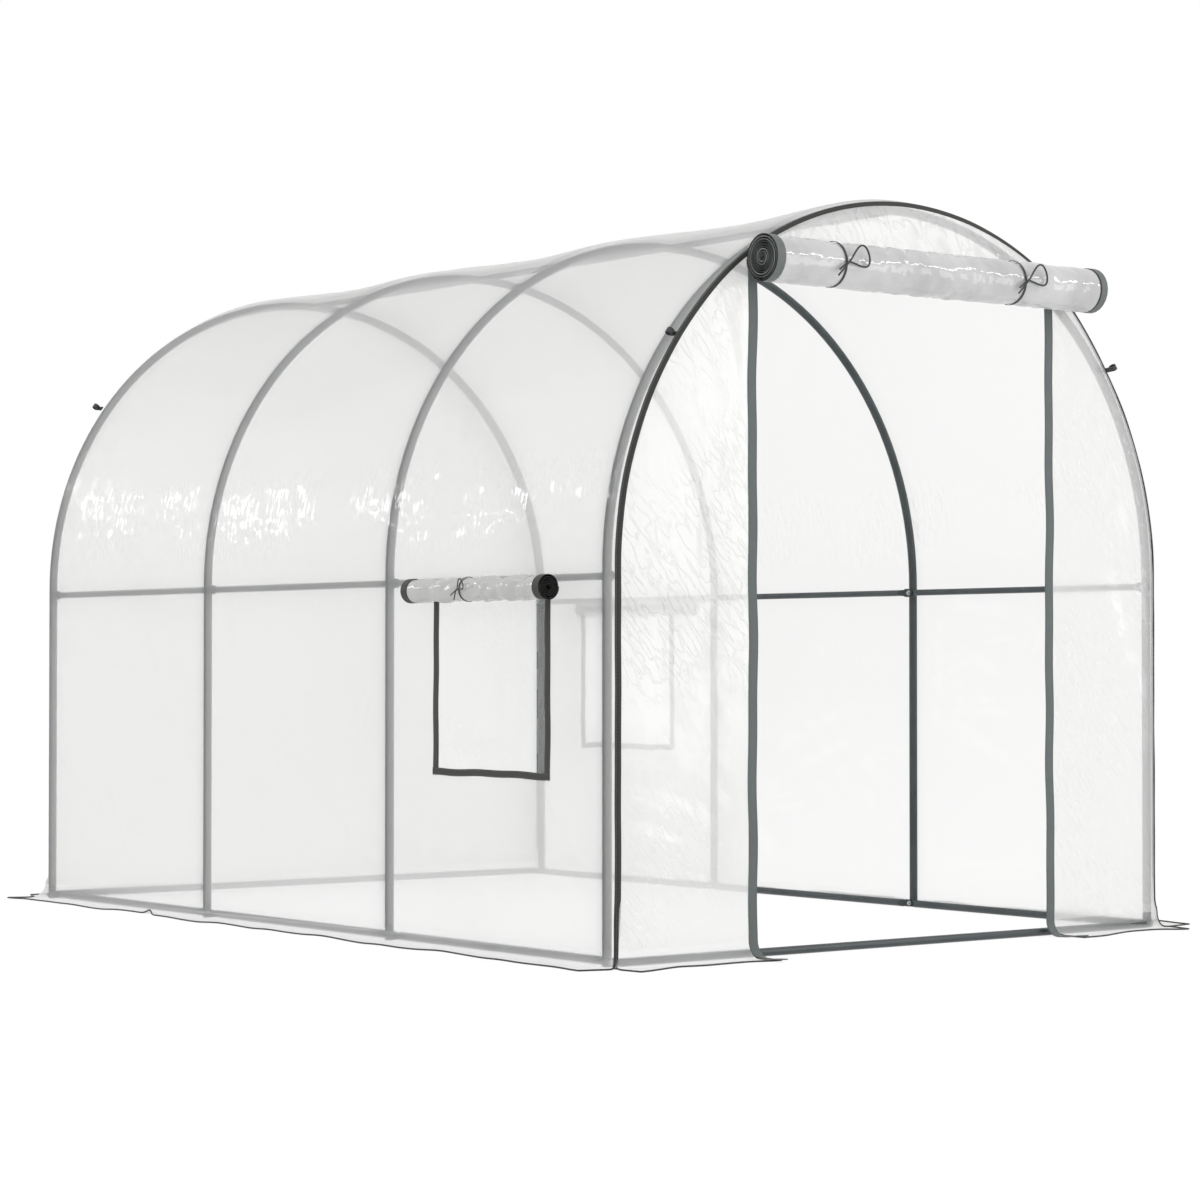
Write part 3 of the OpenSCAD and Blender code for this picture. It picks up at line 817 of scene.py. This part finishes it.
stitches = stitch_tree()
thread = thread_material()
for end, sign, seed, band, lip in (("front", -1, 91, front_band, front_lip),
                                   ("rear", 1, 92, rear_band, rear_lip)):
    turn = np.linspace(np.pi, 0, 260)
    over = np.stack([np.cos(turn), 0 * turn, np.sin(turn)], axis=1)
    line_y = sign * end_line(sign, cover_r * over[:, 0], spring_z + 0 * turn)
    line_r = cover_r + film_t / 2 + tape_seat - (rear_bend(line_y, spring_z) if sign > 0 else 0 * turn)
    crown = over * line_r[:, None] + np.array((0, 0, spring_z))
    crown[:, 1] = line_y
    left, left_facing = corner_run(sign, -1)
    right, right_facing = corner_run(sign, 1)
    path = np.concatenate([left, crown, right[::-1]])
    normals = np.concatenate([left_facing, over, right_facing[::-1]])
    if sign > 0:
        above = path[:, 2] > rear_tape_foot
        path, normals = path[above], normals[above]
    rng = np.random.default_rng(seed)
    path[:, 1] += wander(rng, run_along(path), 0.0004, (0.21, 0.37, 0.83))
    lip_right = front_lip_right if sign < 0 else lip
    lips = lip + (lip_right - lip) * smooth(path[:, 0], 0.1, 0.8)
    lips = lip_at_foot + (lips - lip_at_foot) * smooth(path[:, 2], 0.04, 0.10)
    section = [corner_section(band, one, arch_tape_t, sign) for one in lips]
    binding = swept(end + "_arch_tape", path, normals, section, olive_tape)
    declare(binding, "arch_tape", end + "_arch_binding")
    rows = [beside(path, normals, sign * s * band, 1.15 * arch_tape_t) for s in (0.2, 0.85)]
    stitched(end + "_arch_stitches", rows, "arch_tape")

# Door bindings: slate tape sewn over the raw edge on both sides of the doorway.
# Each runs down the wall, round the bend of the skirt and out over the ground as a loose end.

door_tape_w, door_tape_t = 0.030, 0.0024
tape_crown = 0.0006
slate_tape_deep = (0.083, 0.099, 0.099, 1)
slate_tape_pale = (0.121, 0.139, 0.139, 1)
slate_tape = tape_material("slate door tape", slate_tape_deep, slate_tape_pale)
door_tape_seat, tail_lift = 0.0012, 0.005
for side, sign, tail_out, sweep, seed in (("left", -1, 0.136, -0.014, 95), ("right", 1, 0.117, 0.020, 96)):
    middle = (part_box("door_binding_" + side)[0].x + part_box("door_binding_" + side)[1].x) / 2
    upright = np.linspace(float(arch_z(middle, front_r)) - 0.006, foot_z, 170)
    bend = np.linspace(0, np.pi / 2, 12)[1:]
    flat = np.linspace(foot_r, tail_out, 14)[1:]
    out = np.concatenate([0 * upright, foot_r * (1 - np.cos(bend)), flat])
    up = np.concatenate([upright, foot_z - foot_r * np.sin(bend), 0 * flat + foot_z - foot_r])
    rng = np.random.default_rng(seed)
    run = np.concatenate([[0], np.cumsum(np.hypot(np.diff(out), np.diff(up)))])
    shift = wander(rng, run, 0.0013, (0.27, 0.46, 0.95)) + sweep * smooth(out, 0.6 * foot_r, tail_out)
    up = up + door_tape_seat + tail_lift * smooth(out, 0.06, tail_out) * (out > 0)
    path = np.stack([middle + shift, -(end_line(-1, middle, up) + out), up], axis=1)
    normals = unit(np.cross((1.0, 0, 0), np.gradient(path, axis=0)))
    normals *= np.where(normals[:, 2] > normals[:, 1], 1, -1)[:, None]
    section = tape_section(door_tape_w, door_tape_t, tape_crown)
    binding = swept("door_tape_" + side, path, normals, section, slate_tape)
    declare(binding, "door_tape", "door_binding_" + side)
    rows = [beside(path, normals, s * stitch_at * door_tape_w, door_tape_t / 2 + stitch_r) for s in (-1, 1)]
    stitched(f"door_tape_{side}_stitches", rows, "door_tape")

# Windows: a dark tape frame sewn round each opening, with insect net stretched inside it.
# The net is woven from fine white monofilament; the frame's tapes overlap at the corners.

window_tape_w = 0.022
window_sill_w = 0.019
window_tape_t = 0.0030
window_overlap = 0.0006
net_pitch, net_thread_r = 0.0026, 0.00012
net_back = 0.0045


def net_tree():
    tree, inputs = geometry_tree("crossed threads", ["Width", "Height", "Pitch", "Radius"])
    layers = []
    for span, rise, turned in (("Width", "Height", False), ("Height", "Width", True)):
        count = inputs.math("DIVIDE", inputs.out(rise), inputs.out("Pitch"))
        strand = inputs.node("GeometryNodeMeshCylinder", Vertices=6, Radius=inputs.out("Radius"),
                             Depth=inputs.out(span))
        step = inputs.node("ShaderNodeCombineXYZ", Y=inputs.out("Pitch") if turned else 0.0,
                           Z=0.0 if turned else inputs.out("Pitch"))
        back = -0.5 * inputs.out(rise)
        first = inputs.node("ShaderNodeCombineXYZ", X=inputs.out("Radius") * (1.0 if turned else -1.0),
                            Y=back if turned else 0.0, Z=0.0 if turned else back)
        row = inputs.node("GeometryNodeMeshLine", Count=count, Start_Location=first, Offset=step)
        lean = (0.0, 0.0, 0.0) if turned else (math.pi / 2, 0.0, 0.0)
        layers.append(inputs.node("GeometryNodeInstanceOnPoints", Points=row, Instance=strand, Rotation=lean))
    tree_output(inputs, inputs.node("GeometryNodeJoinGeometry", Geometry=layers))
    return tree


def net_material():
    material, root = new_material("white monofilament")
    drawn = noise(object_place(root), 90.0, 2.0)
    tone = drawn.mix((0.82, 0.83, 0.82, 1), (0.92, 0.93, 0.92, 1))
    strand = root.node("ShaderNodeBsdfPrincipled", Base_Color=tone, Roughness=0.30 + 0.2 * drawn)
    return shown(material, strand)


nets = net_tree()
net_white = net_material()
for side, sign in (("left", -1), ("right", 1)):
    low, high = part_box(side + "_window_binding")
    rng = np.random.default_rng(97 + sign)
    half, sill = window_tape_w / 2, window_sill_w / 2
    bars = [((low.y + half, high.z), (low.y + half, low.z), window_tape_w),
            ((high.y - half, high.z), (high.y - half, low.z), window_tape_w),
            ((low.y, low.z + sill), (high.y, low.z + sill), window_sill_w),
            ((low.y, high.z - half), (high.y, high.z - half), window_tape_w)]
    rows = []
    for number, (start, end, width) in enumerate(bars):
        share = np.linspace(0, 1, 60)[:, None]
        line = np.array(start) * (1 - share) + np.array(end) * share
        run = share * np.linalg.norm(np.array(end) - np.array(start))
        sway = wander(rng, run, 0.0009, (0.19, 0.41))
        upright = start[0] == end[0]
        line = line + (np.hstack([sway, 0 * sway]) if upright else np.hstack([0 * sway, sway]))
        off = cover_r + side_hang(line[:, 0], line[:, 1]) + (0.0 if upright else window_overlap)
        path = np.column_stack([sign * off, line])
        normals = np.tile((float(sign), 0, 0), (60, 1))
        piece = swept(f"{side}_window_tape_{number + 1}", path, normals,
                      tape_section(width, window_tape_t, tape_crown), olive_tape)
        declare(piece, "arch_tape", *([side + "_window_binding"] if number == 0 else []))
        rows += [beside(path, normals, s * stitch_at * width, window_tape_t / 2 + stitch_r) for s in (-1, 1)]
    stitched(side + "_window_stitches", rows, "arch_tape")
    net_size = (high.y - low.y - window_tape_w, high.z - low.z - window_sill_w)
    seed_mesh = seed_points(side + "_net", [(0, 0, 0)], [(0, 0, 1)])
    net = grown(side + "_net", nets, seed_mesh, {
        "Width": net_size[0], "Height": net_size[1], "Pitch": net_pitch, "Radius": net_thread_r}, net_white)
    middle = (low + high) / 2
    net.data.transform(Matrix.Translation((sign * (cover_r - net_back), middle.y, middle.z)))
    declare(net, "insect_net", side + "_window_net")

# Rolled-up door and windows: each film flap is wound up on itself and tied, so it looks milky and opaque.
# The ends keep the dark tape of the flap's edges, seen as a spiral, painted black for shade with highlight
# rings.

roll_core, roll_cell = 0.008, 0.008
roll_deep, roll_pale = (0.47, 0.47, 0.47, 1), (0.58, 0.58, 0.58, 1)
# The window rolls' darker grey is painted shade on the same film as the door roll.
window_roll_shaded_grey = (0.45, 0.45, 0.445, 1)
tie_pinch = 0.055
# The last colour is painted shade, black, for the wound ends and the shadow line; the first two are the
# tapes' own colours.
end_slate, end_dark, end_shade_black = (0.125, 0.140, 0.138, 1), (0.026, 0.028, 0.024, 1), (0.006, 0.006, 0.006, 1)
# A painted highlight grey for the rings on the door roll's wound end.
ring_highlight_grey = (0.34, 0.34, 0.33, 1)
# The highlight rings' pitch, and how far the painted shadow line reaches past the end of the roll's film.
end_pitch, shadow_line_width = 0.0082, 0.005
window_tie_shift = {"left": 0.04, "right": -0.04}


def on_door_roll(place):
    """1 at the door roll's height, 0 at the window rolls'."""
    return component(place, "Z").ramp(1.39, 1.41)


def rolled_film_material():
    material, root = new_material("rolled film")
    place = object_place(root)
    tone = noise(place, 7.0, 4.0).ramp(0.3, 0.7).mix(roll_deep, roll_pale)
    lumps = 0.011 * noise(place, 13.0, 1.0) + 0.0020 * noise(place, 42.0, 1.5)
    # Painted shade: the window rolls get a darker grey than the door roll.
    skin = root.node("ShaderNodeBsdfPrincipled", Base_Color=on_door_roll(place).mix(window_roll_shaded_grey, tone),
                     Roughness=0.10, Specular_IOR_Level=0.9, Normal=bump(lumps, 1.0, 1.0))
    return shown(material, skin)


def end_tape_material():
    """Slate tape on the door roll, darker on the window rolls; wound ends in painted black shade, with
    painted highlight rings and a painted shadow line on the door roll.
    """
    material, root = new_material("roll end tape")
    place = object_place(root)
    on_door = on_door_roll(place)
    facing = root.node("ShaderNodeSeparateXYZ", Vector=root.node("ShaderNodeNewGeometry").out("Normal"))
    along_x, along_y = facing.out("X") * facing.out("X"), facing.out("Y") * facing.out("Y")
    edge = (along_y + (along_x - along_y) * on_door).ramp(0.4, 0.6)
    weave = noise(place, weave_scale, 1.0)
    forward, rise = component(place, "Y") - door_axis.y, component(place, "Z") - door_axis.z
    turns = root.math("ARCTAN2", rise, forward) * (1 / math.tau)
    wound = root.math("FRACT", (forward * forward + rise * rise) ** 0.5 * (1 / end_pitch) - turns, 0.0)
    # Painted highlight: thin grey rings on the door roll's wound end, with black painted shade between them
    # and on the window rolls' ends.
    highlight_rings = on_door * (1 - root.math("ABSOLUTE", wound - 0.5, 0.0).ramp(0.06, 0.15))
    face = highlight_rings.mix(end_shade_black, ring_highlight_grey)
    # Painted shadow: a black band along the inner edge of the door roll's right end tape.
    across, shadow_line_x = component(place, "X"), door_roll_high.x + shadow_line_width
    rim = on_door * across.ramp(0.0, 0.1) * (1 - across.ramp(shadow_line_x - 0.001, shadow_line_x + 0.001))
    tape = edge.mix(on_door.mix(end_dark, end_slate), face)
    cloth = root.node("ShaderNodeBsdfPrincipled", Base_Color=rim.mix(tape, end_shade_black),
                      Roughness=0.45 + 0.2 * weave, Normal=bump(weave, 0.5, 0.0004))
    return shown(material, cloth)


def about_axis(centre, along, run, across, up):
    """Points round an axis through centre, along 'x' or 'y'."""
    x, y = (run, across) if along == "x" else (across, run)
    return np.stack([centre[0] + x, centre[1] + y, centre[2] + up], axis=-1)


def rolled(name, node, centre, along, radius, turns, half, ties, seed):
    """A flap wound up round an axis; ties are the places along it where it is tied in."""
    inner = np.linspace(0, (turns - 1) * math.tau, (turns - 1) * 14, endpoint=False)
    outer = np.linspace((turns - 1) * math.tau, turns * math.tau, 72)
    wound = np.concatenate([inner, outer])
    grow = np.minimum(1, wound / ((turns - 0.5) * math.tau))
    spiral = roll_core + (radius - 0.001 - roll_core) * grow
    run, turn = np.meshgrid(np.linspace(-half, half, round(2 * half / roll_cell)), wound, indexing="ij")
    spiral = np.broadcast_to(spiral, turn.shape)
    tied = sum(np.exp(-((run - t) / 0.030) ** 2) for t in ties)
    loose = smooth(half - np.abs(run), 0.0, 0.05)
    skin = spiral / radius
    crumple = creases(run, turn * radius, seed, 260, 0.045, 0.045, 0.0012, 1.2)
    crumple += creases(run, turn * radius, seed + 1, 70, 0.10, 0.12, 0.0026, 1.3)
    proud = loose * skin * (1 - 0.6 * np.minimum(tied, 1)) * np.minimum(1.5 * crumple, 0.003)
    r = spiral * (1 - tie_pinch * tied) + proud
    points = about_axis(centre, along, run, r * np.cos(turn), r * np.sin(turn))
    piece = sheet_piece(name, points, rolled_film, centre)
    declare(piece, "rolled_film", node)


rolled_film = rolled_film_material()
door_roll_low, door_roll_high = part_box("door_roll")
door_axis = (door_roll_low + door_roll_high) / 2
door_roll_r = (door_roll_high.z - door_roll_low.z) / 2
door_ties = (-0.330, 0.330)
rolled("rolled_door", "door_roll", door_axis, "x", door_roll_r, 9, (door_roll_high.x - door_roll_low.x) / 2,
       [t - door_axis.x for t in door_ties], 101)
window_axes = {}
for side, seed in (("left", 103), ("right", 105)):
    low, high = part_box(side + "_window_roll")
    window_axes[side] = (low + high) / 2
    rolled("rolled_window_" + side, side + "_window_roll", window_axes[side], "y", (high.z - low.z) / 2, 5,
           (high.y - low.y) / 2, [window_tie_shift[side]], seed)
end_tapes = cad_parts["roll_end_tapes"]
end_tapes.data.materials.clear()
end_tapes.data.materials.append(end_tape_material())

# Ties: narrow dark tape, sewn to the cover, passed round each roll and tied in a bow on the outside.
# The bow's loop and its two tails hang free.

tie_t, tie_crown = 0.0013, 0.0003
door_tie_w, window_tie_w = 0.0062, 0.0036
tie_tape = tape_material("dark tie tape", (0.022, 0.027, 0.027, 1), (0.042, 0.049, 0.049, 1))


def ring(name, centre, along, radius, width):
    turn = np.linspace(0, math.tau, 72, endpoint=False)
    path = about_axis(centre, along, 0 * turn, radius * np.cos(turn), radius * np.sin(turn))
    normals = about_axis((0, 0, 0), along, 0 * turn, np.cos(turn), np.sin(turn))
    return swept(name, path, normals, tape_section(width, tie_t, tie_crown), tie_tape, closed=True)


def bow_cord(name, points, diameter):
    data = bpy.data.curves.new(name, "CURVE")
    data.dimensions = "3D"
    data.bevel_depth = diameter / 2
    data.bevel_resolution = 3
    data.use_fill_caps = True
    data.materials.append(tie_tape)
    spline = data.splines.new("POLY")
    spline.points.add(len(points) - 1)
    for point, place in zip(spline.points, points):
        point.co = (*place, 1)
    piece = bpy.data.objects.new(name, data)
    bpy.context.scene.collection.objects.link(piece)
    declare(piece, "tie_webbing")


def bow(name, knot, right, out, loop, belly, lean, tails, diameter):
    """A loop up to the right of the knot that comes back and runs on as the first tail, and a second tail.
    lean is the loop's angle in degrees, and tails has each tail's angle and length."""
    lean = math.radians(lean)
    (first, first_length), (second, second_length) = [(math.radians(a), length) for a, length in tails]
    knot, right, out, up = np.array(knot), np.array(right), np.array(out), np.array((0, 0, 1.0))

    def at(across, rise, proud):
        return knot + right * across + up * rise + out * proud

    turn = np.linspace(0, math.tau, 34)[1:-1]
    reach = loop * (1 - np.cos(turn)) / 2
    wide = belly * loop * np.sin(turn) * (1 - np.cos(turn)) / 2
    route = [at(0, 0, 0)]
    route += [at(a * math.cos(lean) - b * math.sin(lean), a * math.sin(lean) + b * math.cos(lean),
                 0.004 + 0.06 * a) for a, b in zip(reach, wide)]
    route += [at(math.cos(first) * d, math.sin(first) * d, 0.007 - 0.05 * d)
              for d in np.linspace(diameter, first_length, 10)]
    bow_cord(name + "_loop", route, diameter)
    tail = [at(math.cos(second) * d, math.sin(second) * d - 3.0 * d * d, 0.001 + 0.003 * math.sin(60 * d))
            for d in np.linspace(0, second_length, 14)]
    bow_cord(name + "_tail", tail, diameter)


ring_parts = []
for number, x in enumerate(door_ties, 1):
    radius = door_roll_r * (1 - tie_pinch) + tie_t
    ring_parts.append(ring(f"door_tie_{number}", (x, door_axis.y, door_axis.z), "x", radius, door_tie_w))
    knot = (x, door_axis.y - radius - 0.003, door_axis.z)
    bow(f"door_bow_{number}", knot, (1, 0, 0), (0, -1, 0), 0.072, 0.62, 20,
        ((-134, 0.052), (-150, 0.036)), 0.0052)
for side, sign in (("left", -1), ("right", 1)):
    axis = window_axes[side]
    y = axis.y + window_tie_shift[side]
    low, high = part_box(side + "_window_roll")
    radius = (high.z - low.z) / 2 * (1 - tie_pinch) + tie_t
    ring_parts.append(ring(f"{side}_window_tie", (axis.x, y, axis.z), "y", radius, window_tie_w))
    knot = (axis.x + sign * (radius + 0.002), y, axis.z)
    bow(f"{side}_window_bow", knot, (0, -1.0, 0), (sign, 0, 0), 0.032, 0.75, 35,
        ((-112, 0.031), (-155, 0.031)), 0.0033)
for ring_part in ring_parts:
    declare(ring_part, "tie_webbing")
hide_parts("roll_ties")

# Guy loops: short folded webbing eyes, sewn into the corner binding where storm lines are tied.
# Two are at the front arch and two at the rear. Each runs from the binding to its eye at the CAD's place.

loop_w, loop_t, loop_crown, loop_seat = 0.0140, 0.0023, 0.0001, 0.0015
eye_r, foot_gap = 0.0092, 0.0014
eye_from_axis, eye_y = 1.0166, end_y - 0.008
guy_angle = math.radians(36.6)
guy_parts = []
for end, sign, back in (("front", -1, front_band / 2), ("rear", 1, 0.0)):
    for side, hand in (("left", -1), ("right", 1)):
        radial = np.array((hand * math.cos(guy_angle), 0, math.sin(guy_angle)))
        level = np.array((0, 1.0, 0))
        eye = np.array((0, sign * eye_y, spring_z)) + radial * eye_from_axis
        foot = np.array((0, 0, spring_z)) + radial * (cover_r + loop_seat)
        foot[1] = sign * (end_line(sign, foot[0], foot[2]) - back)
        turn = np.linspace(-0.74 * np.pi, 0.74 * np.pi, 36)
        round_eye = [radial * math.cos(t) + level * math.sin(t) for t in turn]
        loop = [foot - level * foot_gap, *(eye + eye_r * out for out in round_eye), foot + level * foot_gap]
        facing = [-level, *round_eye, level]
        section = tape_section(loop_w, loop_t, loop_crown)
        guy_parts.append(swept(f"guy_loop_{end}_{side}", loop, facing, section, tie_tape))
for guy_part in guy_parts:
    declare(guy_part, "tie_webbing")
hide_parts("guy_loops")
